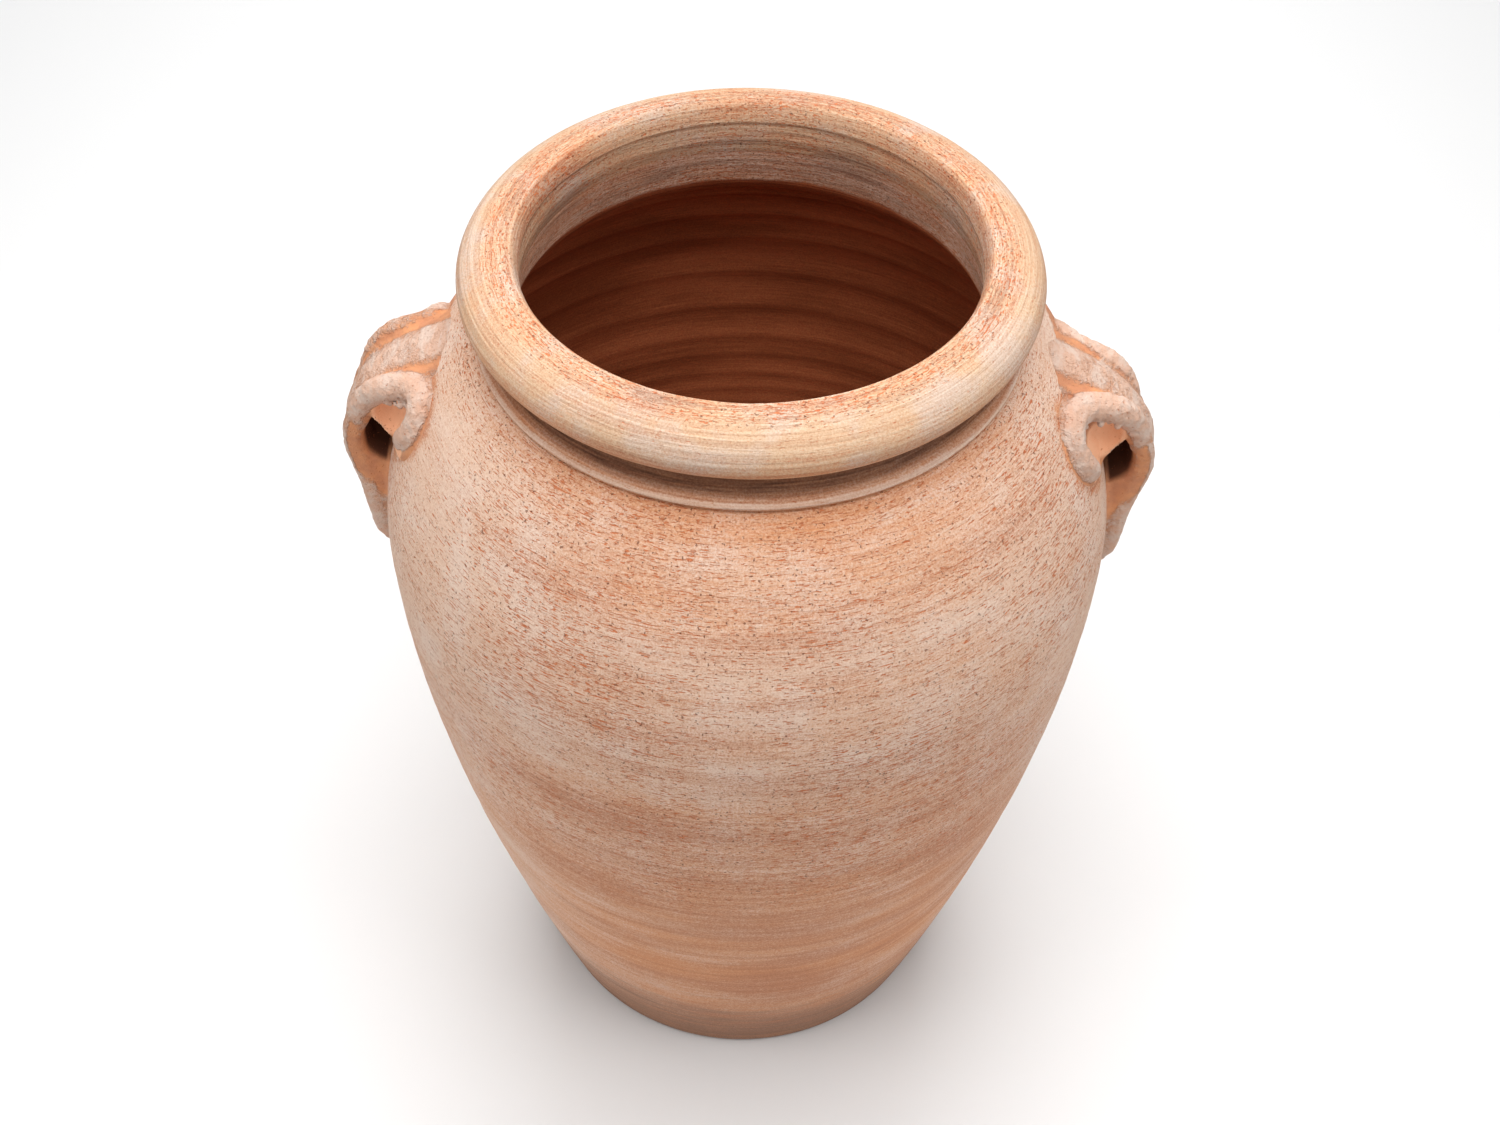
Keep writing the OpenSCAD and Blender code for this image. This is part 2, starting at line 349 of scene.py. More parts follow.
def relief():
    """How far each point of the jar's surface stands out along its normal, in mm."""
    z = ROWS[:, 1][:, None] + np.zeros((1, TURNS))
    out = OUTSIDE[:, None]
    side = smooth(SHOULDER_Z + 3, SHOULDER_Z - 8, z) * smooth(0, 8, z) * out
    d = 0.28 * wheel(1.1, 90, 1, 2) * smooth(2, 20, z)
    # Outside: soft turning marks, drag marks of the wet sponge, a few flat dabs
    d = d + side * (
        0.16 * wheel(0.35, 7.5, 2, 2)
        + 0.10 * wheel(5, 2.6, 3, 2)
        + 0.12 * wheel(4, 22, 4, 1)
        - 0.12
    )
    d = d - 1.1 * smooth(SHOULDER_Z - 7, SHOULDER_Z - 1.5, z) * out * (z < SHOULDER_Z + 0.3)
    # Rim and neck: smoothed by hand, with fine lines
    top = out * smooth(SHOULDER_Z + 1, SHOULDER_Z + 6, z)
    d = d + top * (0.22 * wheel(2.2, 26, 5, 2) + 0.09 * wheel(1.0, 1.8, 6, 2) - 0.12)
    # The inner half of the rim's top is dented and rough
    inner_half = out * smooth(CREST_R + 13, CREST_R + 6, ROWS[:, 0])[:, None] * smooth(JAR_H - 8, JAR_H - 3, z)
    d = d - inner_half * 0.22 * np.abs(wheel(9, 4.5, 36, 3))
    # Mouth: rougher, dragged by the wet hand
    mouth = (~out) * smooth(SHOULDER_Z - 6, SHOULDER_Z + 2, z)
    d = d + mouth * (0.16 * wheel(5, 3.0, 7, 3) + 0.25 * wheel(3.0, 30, 8, 2) - 0.1)
    # Inside: finger grooves that climb a little round the jar
    deep = (~out) * smooth(SHOULDER_Z + 2, SHOULDER_Z - 8, z) * smooth(FLOOR_T, FLOOR_T + 14, z)
    climb = 2.5 * wheel(0.9, 60, 9)
    d = d + deep * (-1.5 * finger_grooves(z + climb) + 0.12 * wheel(1.2, 5, 10, 2))
    return d


def jar_grid():
    """Points and normals of the whole jar's surface, rows by turns."""
    d = relief()
    radius = ROWS[:, 0][:, None] + ROW_NORMALS[:, 0][:, None] * d
    height = ROWS[:, 1][:, None] + ROW_NORMALS[:, 1][:, None] * d
    radius[[0, -1]] = 0.0
    radius = np.clip(radius, 0, BELLY_R - 0.03)
    height = np.clip(height, 0, JAR_H - 0.03)
    points = np.empty(radius.shape + (3,))
    points[..., 0] = radius * ROUND[:, 0]
    points[..., 1] = radius * ROUND[:, 1]
    points[..., 2] = height
    up = np.gradient(points, axis=0)
    around = (np.roll(points, -1, 1) - np.roll(points, 1, 1)) / 2
    normals = np.cross(around, up)
    length = np.linalg.norm(normals, axis=-1)
    normals /= np.maximum(length, 1e-9)[..., None]
    normals[0], normals[-1] = (0, 0, -1), (0, 0, 1)
    return points, normals


# Middle of the front curl, as (distance out, distance to the front, height, radius)
CURLS = {
    "handle_right": [
        (187.0, 14.0, 398, 3.4), (185.5, 16.5, 408, 4.4), (181.0, 18.5, 417, 5.6), (174.5, 20.5, 423.5, 6.4),
        (166.5, 22.0, 427, 6.8), (159.0, 24.5, 429, 7.0), (153.0, 29.0, 430, 7.0), (149.5, 35.0, 429.5, 6.8),
        (149.0, 41.0, 426, 6.7), (151.0, 44.5, 419.5, 6.6), (155.0, 44.5, 412.5, 6.6), (159.5, 41.5, 406, 5.8),
        (162.6, 36.5, 400.5, 4.4), (164.6, 31.5, 395.5, 3.0), (165.6, 26.5, 391, 1.6),
    ],
    "handle_left": [
        (187, 14, 398, 3.4), (185.5, 16, 408, 4.4), (180.5, 18, 416.5, 5.6), (173.5, 20, 423, 6.4),
        (166, 21, 426, 6.8), (159.5, 22.5, 427.5, 6.9), (154.5, 26, 428, 6.9), (151.8, 31.5, 427, 6.7),
        (152, 37, 423.5, 6.5), (154, 39.5, 417.5, 6.4), (157.5, 38.5, 411.5, 6.2), (161.5, 35, 406, 5.3),
        (163.9, 31, 401, 4), (165.6, 27, 396.5, 2.6), (166.6, 23, 392, 1.5),
    ],
}


def join(a, b, k):
    """Both solids together, with a fillet about k wide."""
    h = np.clip(0.5 + 0.5 * (b - a) / k, 0, 1)
    return mix(b, a, h) - k * h * (1 - h)


def tube(p, line):
    """Distance from points to a tube along a line of x, y, z, radius."""
    best = np.full(p.shape[:-1], 1e9)
    for a, b in zip(line, line[1:]):
        d = b[:3] - a[:3]
        t = np.clip(((p - a[:3]) @ d) / (d @ d), 0, 1)
        near = p - a[:3] - t[..., None] * d
        best = np.minimum(best, np.sqrt((near**2).sum(-1)) - mix(a[3], b[3], t))
    return best


def smooth_line(points, steps=4):
    """A rounder line through points."""
    points = np.asarray(points, float)
    ends = np.concatenate([[2 * points[0] - points[1]], points, [2 * points[-1] - points[-2]]])
    t = np.linspace(0, 1, steps, endpoint=False)[:, None]
    out = []
    for a, b, c, d in zip(ends, ends[1:], ends[2:], ends[3:]):
        bend, twist = 2 * a - 5 * b + 4 * c - d, 3 * b - a - 3 * c + d
        out.append(0.5 * (2 * b + (c - a) * t + bend * t**2 + twist * t**3))
    return np.concatenate(out + [points[-1:]])


# ---- Colour masks on the jar: how much pale bloom covers the clay, and what else is on it ----


# How much pale bloom covers the outside, as (height, cover from 0 to 1); the low cover near the foot is partly
# the clay's own tone and partly painted shade
BLOOM_AND_FOOT_SHADE_BY_HEIGHT = [
    (0, 0.14), (14, 0.04), (34, 0.20), (84, 0.38), (104, 0.24), (126, 0.10), (150, 0.20),
    (176, 0.24), (188, 0.46), (200, 0.26), (236, 0.26), (262, 0.52), (284, 0.44), (304, 0.46),
    (318, 0.52), (326, 0.70), (338, 0.60), (350, 0.80), (364, 0.60), (376, 0.70), (388, 0.48),
    (402, 0.80), (414, 0.64), (426, 0.46), (440, 0.54), (452, 0.40), (458, 0.24),
]


def behind_strap_mask(z):
    """The part of the wall that is seen only through the finger holes, which gets the inside's dark clay as
    painted shade.
    """
    aside = np.abs(ROWS[:, 0][:, None] * ROUND[:, 1])
    return smooth(15, 10, aside) * smooth(350, 358, z) * smooth(394, 386, z)


def jar_fields():
    """Masks on the jar's surface, each from 0 to 1 or a little past it."""
    z = ROWS[:, 1][:, None] + np.zeros((1, TURNS))
    out = OUTSIDE[:, None] & np.ones((1, TURNS), bool)
    heights, covers = zip(*BLOOM_AND_FOOT_SHADE_BY_HEIGHT)
    sway = 7 * wheel(1.0, 200, 21) + 2.5 * wheel(3, 40, 22)
    wall = np.interp(z + sway, heights, covers)
    # The potter wiped the front cleaner than the sides
    off_front = 1 - np.cos(TURN - math.radians(8))[None]
    wall = wall + 0.40 * smooth(0.06, 0.55, off_front) + 0.16 * wheel(1.6, 30, 23, 2)
    # Rim: creamy on top, pinker where the bloom is rubbed
    rim = 0.90 + 0.26 * wheel(2.0, 14, 24, 3)
    crown = smooth(CREST_R + 15, CREST_R + 7, ROWS[:, 0])[:, None] * smooth(JAR_H - 9, JAR_H - 3, z)
    rim = rim - 0.34 * crown * (0.6 + 0.5 * wheel(3.5, 9, 31, 2))
    rim = rim - 0.75 * smooth(ROLL_Z + 8, ROLL_Z - 8, z)
    # Collar: a thin pale line along the ridge's edge is a painted highlight; the step below it and the cove
    # above keep little bloom
    above_ridge = ROWS[:, 1] - RIDGE_Z
    steps = [-2.6, -1.4, -0.7, 0.2, 0.8, 3.0, 9.0]
    cove = np.interp(above_ridge, steps, [0.0, 0.1, 1.2, 1.2, 0.3, 0.15, 0.05])
    cove = cove[:, None] + 0.12 * wheel(1.5, 3.0, 32, 2)
    rim = mix(cove, rim, smooth(COLLAR_TOP[1] - 1, COLLAR_TOP[1] + 1, z) * np.ones((1, TURNS)))
    mouth = 0.60 + 0.36 * wheel(2.5, 16, 25, 3)
    on_neck = smooth(SHOULDER_Z - 0.5, SHOULDER_Z + 0.3, z)
    cover = np.where(out, mix(wall, rim, on_neck), mouth)
    # deep: outside, painted shade on the wall behind the straps; inside, the bare clay below the lip
    deep = np.where(out, behind_strap_mask(z), smooth(LIP_Z - 4.5, LIP_Z - 6.5, z + 1.2 * wheel(9, 9, 26, 2)))
    dashes = smooth(175, 250, z) * (0.66 + 0.55 * wheel(2.2, 45, 27, 2))
    dashes = np.where(out & (z > SHOULDER_Z), 0.7 * crown + 0.2, dashes)
    # The clay is bare and orange where the curls were smoothed on to the wall
    span = (ROWS[:, 1] > 375) & (ROWS[:, 1] < 450) & OUTSIDE
    spots = np.stack([ROWS[span, 0][:, None] * ROUND[:, 0], ROWS[span, 0][:, None] * ROUND[:, 1], z[span]], -1)
    bare = np.full(spots.shape[:-1], 1e9)
    for name, side in (("handle_right", 1), ("handle_left", -1)):
        for toward in (-1, 1):
            line = smooth_line(np.array(CURLS[name])[3:] * (side, toward, 1, 1), 2)
            bare = np.minimum(bare, tube(spots, line))
    rubbed = smooth(8.5, 3.0, bare + 2.5 * noise(spots / 9, 29) + 1.2 * noise(spots / 3, 30))
    cover[span] -= 0.75 * rubbed
    halo = smooth(SHOULDER_Z - 30, SHOULDER_Z - 4, z) * smooth(SHOULDER_Z + 4, SHOULDER_Z + 1, z)
    # Grey-brown: painted shade in the step under the ridge and towards the foot, grime on the inner half of
    # the rim's top, and inside, streaks stronger further down the mouth
    grime_and_shade = np.where(
        out,
        0.5 * smooth(1.5, 0.8, np.abs(z - SHOULDER_Z - 0.9))
        + 0.58 * crown * (0.6 + 0.6 * wheel(3.0, 8, 33, 3))
        + 0.80 * smooth(130, 15, z),
        smooth(JAR_H - 7, JAR_H - 20, z) * (0.36 + 0.5 * wheel(2.2, 12, 28, 3)) * (1 - deep),
    )
    # Painted shade under the rim's overhang, over the upper cove
    shaded = smooth(RIDGE_Z + 0.4, RIDGE_Z + 4.2, z) * smooth(COLLAR_TOP[1] + 5, COLLAR_TOP[1] - 1, z)
    return {
        "shaded": np.where(out, shaded, 0.0),
        "along": (ALONG * MM)[:, None] + np.zeros((1, TURNS)),
        "bloom": cover,
        "deep": deep,
        "dashes": np.clip(dashes, 0, 1.2),
        "halo": np.where(out, halo, 0.0),
        "grime_and_shade": np.clip(grime_and_shade, 0, 1),
    }


def make_mesh(name, points, faces, smooth_normals=None, fields=None):
    """A mesh object from points in mm. faces is a list of equal-length index arrays."""
    mesh = bpy.data.meshes.new(name)
    loops = np.concatenate([f.ravel() for f in faces]).astype(np.int32)
    sizes = np.concatenate([np.full(len(f), f.shape[1]) for f in faces]).astype(np.int32)
    starts = np.concatenate([[0], np.cumsum(sizes)[:-1]]).astype(np.int32)
    mesh.vertices.add(len(points))
    mesh.vertices.foreach_set("co", (np.asarray(points) * MM).astype(np.float32).ravel())
    mesh.loops.add(len(loops))
    mesh.loops.foreach_set("vertex_index", loops)
    mesh.polygons.add(len(sizes))
    mesh.polygons.foreach_set("loop_start", starts)
    mesh.update(calc_edges=True)
    mesh.polygons.foreach_set("use_smooth", np.ones(len(sizes), dtype=bool))
    for field, values in (fields or {}).items():
        layer = mesh.attributes.new(field, "FLOAT", "POINT")
        layer.data.foreach_set("value", np.asarray(values, np.float32).ravel())
    if smooth_normals is not None:
        mesh.normals_split_custom_set(smooth_normals.astype(np.float32))
    mesh.update()
    obj = bpy.data.objects.new(name, mesh)
    bpy.context.scene.collection.objects.link(obj)
    return obj


def strip_faces(first, second):
    """Quads between two closed rings of vertex numbers, facing out when second is further along."""
    return np.stack([first, np.roll(first, -1), np.roll(second, -1), second], 1)


GRID, GRID_NORMALS = jar_grid()
FIELDS = jar_fields()


def jar_piece(name):
    """One thrown section: its outer surface, its inner surface, and the joints between them."""
    spans = [(a, b) for n, a, b in SPANS if n == name]
    points, normals, faces, flat = [], [], [], []
    fields = {k: [] for k in FIELDS}
    first_rings, last_rings = [], []

    def add_ring(ring, normal, values):
        start = sum(len(p) for p in points)
        points.append(ring)
        normals.append(normal)
        for key in fields:
            fields[key].append(values[key])
        return np.arange(start, start + len(ring))

    for a, b in spans:
        rings = []
        for row in range(a, b + 1):
            values = {k: FIELDS[k][row] for k in FIELDS}
            if row in (0, len(ROWS) - 1):
                values = {k: v[:1] for k, v in values.items()}
                rings.append(add_ring(GRID[row][:1], GRID_NORMALS[row][:1], values))
            else:
                rings.append(add_ring(GRID[row], GRID_NORMALS[row], values))
        for low, high in zip(rings, rings[1:]):
            if len(low) == 1:
                quad = np.stack([np.full(TURNS, low[0]), np.roll(high, -1), high], 1)
            elif len(high) == 1:
                quad = np.stack([low, np.roll(low, -1), np.full(TURNS, high[0])], 1)
            else:
                quad = strip_faces(low, high)
            faces.append(quad)
            flat.append(False)
        first_rings.append(rings[0])
        last_rings.append(rings[-1])

    def close(start, end, tongue):
        """The faces of a luted joint, from one ring over the tongue to the other."""
        crest = np.column_stack([ROUND * tongue[0], np.full(TURNS, tongue[1])])
        middle = add_ring(crest, np.zeros((TURNS, 3)), {k: np.zeros(TURNS) for k in FIELDS})
        faces.extend([strip_faces(start, middle), strip_faces(middle, end)])
        flat.extend([True, True])

    for (low, high), tongue in JOINT_TONGUES.items():
        if high == name:  # the joint below this section
            close(last_rings[-1], first_rings[0], tongue)
        if low == name:  # the joint above it
            close(last_rings[0], first_rings[-1], tongue)

    points = np.concatenate(points)
    normals = np.concatenate(normals)
    corner_normals = []
    for quad, is_flat in zip(faces, flat):
        if is_flat:
            a, b, c = (points[quad[:, n]] for n in (0, 1, 2))
            n = np.cross(b - a, c - a)
            n /= np.maximum(np.linalg.norm(n, axis=1), 1e-9)[:, None]
            corner_normals.append(np.repeat(n, quad.shape[1], 0))
        else:
            corner_normals.append(normals[quad.ravel()])
    obj = make_mesh(
        name + "_clay",
        points,
        faces,
        np.concatenate(corner_normals),
        {k: np.concatenate(v) for k, v in fields.items()},
    )
    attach(obj, "root")
    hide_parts(name)
    return obj


# ---- Handles: each is modelled as a solid of clay on a fine grid of distances, then skinned ----

GRID_STEP = 0.8
HANDLE_LIMIT = box_mm("handle_right")[1][0] - 0.02
STRAP_REACH = HANDLE_LIMIT - 5.5
STRAP_TOP_Z = 434.0
STRAP_TIP_Z = 314.0
OFF_TIP = {"handle_right": 4.0, "handle_left": 5.5}  # from the wall to the strap's middle at its tip
# Along the strap, from 0 at its root to 1 at its tip: half its width, and how far its face and its
# back are from its middle
STRAP_HALF = ([0, 0.25, 0.45, 0.62, 0.85, 1], [21, 20.5, 19, 16.5, 14, 11.5])
STRAP_FACE = ([0, 0.12, 0.3, 0.5, 0.8, 0.93, 0.97, 1], [9, 9, 8.0, 5.5, 6.2, 6.0, 5.0, 1.5])
STRAP_BACK = ([0, 0.12, 0.2, 0.32, 0.45, 0.6, 0.8, 1], [13, 10, 6.5, 5.0, 4.6, 5.2, 5.5, 4.5])
STRAP_CORNER = 3.2
RIB_H = 3.6
HOLLOW_X, HOLLOW_Y, HOLLOW_Z = 170, 31, 407.5
HOLLOW_SIZE = (11, 14, 16)
CURL_MIDDLE = (161, 29, 412)
BACK_CURL_RISE = {"handle_right": -4.5, "handle_left": 1.5}
SKIRT = 4.2


def strap_line(off_tip):
    """Middle of the strap from the front, as [distance out, height]. Its tip is off_tip from the wall."""
    top = np.array([radius_at(STRAP_TOP_Z) - 11, STRAP_TOP_Z])
    tip = np.array([radius_at(STRAP_TIP_Z) + off_tip, STRAP_TIP_Z])
    t = np.linspace(0, 1, 90)
    knee = (STRAP_REACH, 386)
    upper = bezier(top, top + [22, -6], (STRAP_REACH, 410), knee, t)
    lower = bezier(knee, (STRAP_REACH, 370), tip + [0.0, 44], tip, t)
    return np.concatenate([upper, lower[1:]])


def along_line(x, z, line):
    """For points x, z: how far down the line (0 to 1), how far out from it, how far past its lower end."""
    run = np.concatenate([[0], np.cumsum(np.hypot(*np.diff(line, axis=0).T))])
    best = np.full(x.shape, 1e9)
    s, out, past = np.zeros(x.shape), np.zeros(x.shape), np.zeros(x.shape)
    for k in range(len(line) - 1):
        a, b = line[k], line[k + 1]
        length = np.hypot(*(b - a))
        d = (b - a) / length
        u = (x - a[0]) * d[0] + (z - a[1]) * d[1]
        n = -(x - a[0]) * d[1] + (z - a[1]) * d[0]
        inside = np.clip(u, 0, length)
        distance = np.hypot(n, u - inside)
        near = distance < best
        best = np.where(near, distance, best)
        s = np.where(near, (run[k] + inside) / run[-1], s)
        out = np.where(near, n, out)
        past = np.where(near, np.maximum(u - length, 0) if k == len(line) - 2 else 0, past)
    return s, out, past


def blurred(grid, width):
    """A grid averaged over width steps each way, twice."""
    for _ in range(2):
        for axis in range(3):
            v = np.moveaxis(grid, axis, 0)
            padded = np.concatenate([np.repeat(v[:1], width + 1, 0), v, np.repeat(v[-1:], width, 0)])
            run = np.cumsum(padded, 0)
            grid = np.moveaxis((run[2 * width + 1 :] - run[: -2 * width - 1]) / (2 * width + 1), 0, axis)
    return grid


def strap_solid(name, py, s, out, past, wobble):
    """The strap with its three ribs. The right one's back edge sags."""
    half = np.interp(s, *STRAP_HALF)
    rib = RIB_H * smooth(1.02, 0.72, s)
    face = np.interp(s, *STRAP_FACE) - rib
    across = py / half + 0.03 * wobble
    middle = np.clip(1 - (across / 0.80) ** 2, 0, 1) ** 0.8
    sides = 0.8 * smooth(0.26, 0.42, s) * np.clip(1 - ((np.abs(across) - 0.88) / 0.26) ** 2, 0, 1)
    sag = np.where(py > 0, 0.24 * py, 0) * (name == "handle_right") * smooth(0.75, 0.3, s)
    outer = face + rib * np.maximum(middle, sides) + 0.5 * wobble - sag
    inner = np.interp(s, *STRAP_BACK) + 1.5 * (1 - np.clip(across, -1, 1) ** 2)
    depth = np.maximum(out - outer, -inner - out) + STRAP_CORNER
    width = np.abs(py) - half + STRAP_CORNER
    strap = np.sqrt(np.maximum(depth, 0) ** 2 + np.maximum(width, 0) ** 2 + past**2)
    strap += np.minimum(np.maximum(depth, width), 0) - STRAP_CORNER
    return strap


def clay_behind(px, py, pz, out, off_wall, wobble):
    """Clay pressed in behind the strap: the web over the finger hole, its slanting edge, and the heel."""
    edge = (px - 170.0) * 0.84 - (pz - 391.5) * 0.54 + 0.6 * wobble
    web = [edge - 5.0 * smooth(0, 18, py), np.abs(py) - 20.5, out - 4.0 + 0 * py, off_wall - 22]
    rise = 0.18 * py + 14 * smooth(-2, 16, py)
    front = np.interp(pz, [330, 355, 376], [11.5, 15.0, 14.0])
    top = pz - 375 - rise - 0.6 * (px - 181)
    heel = [top, 330 - pz, -py - front, py - 14, out - 2.0 + 0 * py]
    return np.maximum.reduce(web), edge, np.maximum.reduce(heel)


def curl_line(name, toward):
    """Middle of a curl. The back one repeats the front one, a little smaller."""
    line = np.array(CURLS[name])
    line[:, 1] *= toward
    if toward > 0:
        line *= (1, 0.88, 1, 0.94)
        line[:, 2] += BACK_CURL_RISE[name]
    return smooth_line(line)


def add_crumbs(ring, p, line, toward, count, random):
    """Crumbs of clay on the inner side of a curl's top."""
    for _ in range(count):
        at = line[random.integers(12, 32)]
        inward = np.array([167.0, toward * 30.0, 409.0]) - at[:3]
        centre = at[:3] + inward / np.linalg.norm(inward) * (at[3] + random.uniform(-0.8, 1.0))
        centre += random.uniform(-1.0, 1.0, 3) + [0, toward * random.uniform(0.5, 2.5), 0]
        size = random.uniform(1.0, 1.8)
        close = (np.abs(p - centre) < 5).all(-1)
        ring[close] = join(ring[close], np.linalg.norm(p[close] - centre, axis=-1) - size, 0.4)


def handle_solid(name):
    """The right handle, or the left one turned round: distances on a grid, the grid's axes, and masks."""
    seed = 400 if name == "handle_right" else 500
    random = np.random.default_rng(seed)
    x = np.arange(138.0, 200.0, GRID_STEP)
    y = np.arange(-54.0, 48.0, GRID_STEP)
    z = np.arange(295.0, 448.0, GRID_STEP)
    p = np.stack(np.meshgrid(x, y, z, indexing="ij"), -1)
    px, py, pz = p[..., 0], p[..., 1], p[..., 2]
    wobble = noise(p[::4, ::4, ::4] / 19, seed)
    wobble = np.repeat(np.repeat(np.repeat(wobble, 4, 0), 4, 1), 4, 2)[: len(x), : len(y), : len(z)]
    wobble = blurred(wobble, 2)
    slope = np.gradient(radius_at(z), z)
    off_wall = (np.hypot(px, py) - radius_at(z)) / np.sqrt(1 + slope**2)

    line = strap_line(OFF_TIP[name])
    s, out, past = (v[:, None, :] for v in along_line(*np.meshgrid(x, z, indexing="ij"), line))
    strap = strap_solid(name, py, s, out, past, wobble)
    web, edge, heel = clay_behind(px, py, pz, out, off_wall, wobble)
    solid = join(join(strap, web, 1.6), heel, 5.0)

    # Curls, and the hollows that the thumb pressed inside them
    pressed = join(web, off_wall - 0.9, 9.0)
    rings, hollows = [], []
    for toward in (-1, 1):
        line = curl_line(name, toward)
        ring = np.full(px.shape, 50.0)
        near = (px < 193) & (pz > 384) & (py * toward > 6)
        ring[near] = tube(p[near], line)
        cx, cy, cz = CURL_MIDDLE
        around = np.sqrt((px - cx) ** 2 + (py - toward * cy) ** 2 + (pz - cz) ** 2) - 17.5
        floor = np.maximum.reduce([np.where(py * toward > 10, pressed, 50.0), around, edge])
        solid = join(solid, floor, 0.8)
        wide, deep, tall = HOLLOW_SIZE
        aside = py - toward * HOLLOW_Y
        hollow = np.sqrt(((px - HOLLOW_X) / wide) ** 2 + (aside / deep) ** 2 + ((pz - HOLLOW_Z) / tall) ** 2)
        solid = -join(-solid, np.maximum((hollow - 1) * 11.0, 0.9 - off_wall), 0.6)
        add_crumbs(ring, p, line, toward, 22 if toward < 0 and name == "handle_left" else 7, random)
        rings.append(ring)
        hollows.append(hollow)
    for ring in rings:
        solid = join(solid, ring, 3.6)

    # Roughness of pressed clay, smoother in the hollows
    smoothness = smooth(1.25, 0.95, np.minimum(*hollows))
    band = np.abs(solid) < 3
    crusty = smooth(2.0, 0.3, np.minimum(*rings))[band]
    rough = (0.2 + 0.25 * crusty) * layered(p[band] / 6, 2, seed + 5)
    rough += (0.16 + 0.32 * crusty) * noise(p[band] / 2.3, seed + 3)
    solid[band] += rough * (1 - 0.8 * smoothness[band])
    # A thin skirt spreads on the wall and runs out under its surface
    reach = solid - 5
    solid = join(solid, off_wall + 0.6, SKIRT)
    solid = np.maximum.reduce([solid, reach, -(off_wall + 1.6)])
    for axis in range(3):
        ends = np.moveaxis(solid, axis, 0)
        ends[0] = np.maximum(ends[0], 0.4)
        ends[-1] = np.maximum(ends[-1], 0.4)
    masks = {
        "hollow": np.minimum(*hollows),
        "ring": np.minimum(*rings),
        "out": out + 0 * py,
        "s": s + 0 * py,
        "off": off_wall,
    }
    return (x, y, z), solid, masks


def skin(solid):
    """Points and quads on the surface of a solid given as distances on a grid."""
    shape = np.array(solid.shape)
    total = np.zeros(tuple(shape - 1) + (3,), np.float32)
    count = np.zeros(tuple(shape - 1), np.float32)
    crossings = []
    for axis in range(3):
        v = np.moveaxis(solid, axis, 0)
        cross = (v[:-1] < 0) != (v[1:] < 0)
        where = np.argwhere(cross)
        a, b = v[:-1][cross], v[1:][cross]
        order = [axis] + [k for k in range(3) if k != axis]
        index = np.empty_like(where)
        index[:, order] = where
        point = index.astype(float)
        point[:, axis] += a / (a - b)
        crossings.append((axis, index, a < 0))
        one, two = order[1], order[2]
        for i in (0, 1):
            for j in (0, 1):
                cell = index.copy()
                cell[:, one] -= i
                cell[:, two] -= j
                good = (cell >= 0).all(1) & (cell < shape - 1).all(1)
                np.add.at(total, tuple(cell[good].T), point[good])
                np.add.at(count, tuple(cell[good].T), 1)
    used = count > 0
    number = np.full(used.shape, -1)
    number[used] = np.arange(used.sum())
    points = total[used] / count[used][:, None]
    faces = []
    for axis, index, inward in crossings:
        one, two = (axis + 1) % 3, (axis + 2) % 3
        corners = []
        for i, j in ((1, 1), (0, 1), (0, 0), (1, 0)):
            cell = index.copy()
            cell[:, one] -= i
            cell[:, two] -= j
            corners.append(cell)
        good = np.all([(c >= 0).all(1) & (c < shape - 1).all(1) for c in corners], axis=0)
        quad = np.stack([number[tuple(c[good].T)] for c in corners], 1)
        quad[~inward[good]] = quad[~inward[good]][:, ::-1]
        faces.append(quad)
    return points, np.concatenate(faces)


def sample(grid, at):
    """Values of a grid at points given in grid steps."""
    base = np.clip(np.floor(at).astype(int), 0, np.array(grid.shape) - 2)
    f = at - base
    total = 0.0
    for i in (0, 1):
        for j in (0, 1):
            for k in (0, 1):
                weight = np.abs(1 - i - f[:, 0]) * np.abs(1 - j - f[:, 1]) * np.abs(1 - k - f[:, 2])
                total = total + weight * grid[base[:, 0] + i, base[:, 1] + j, base[:, 2] + k]
    return total


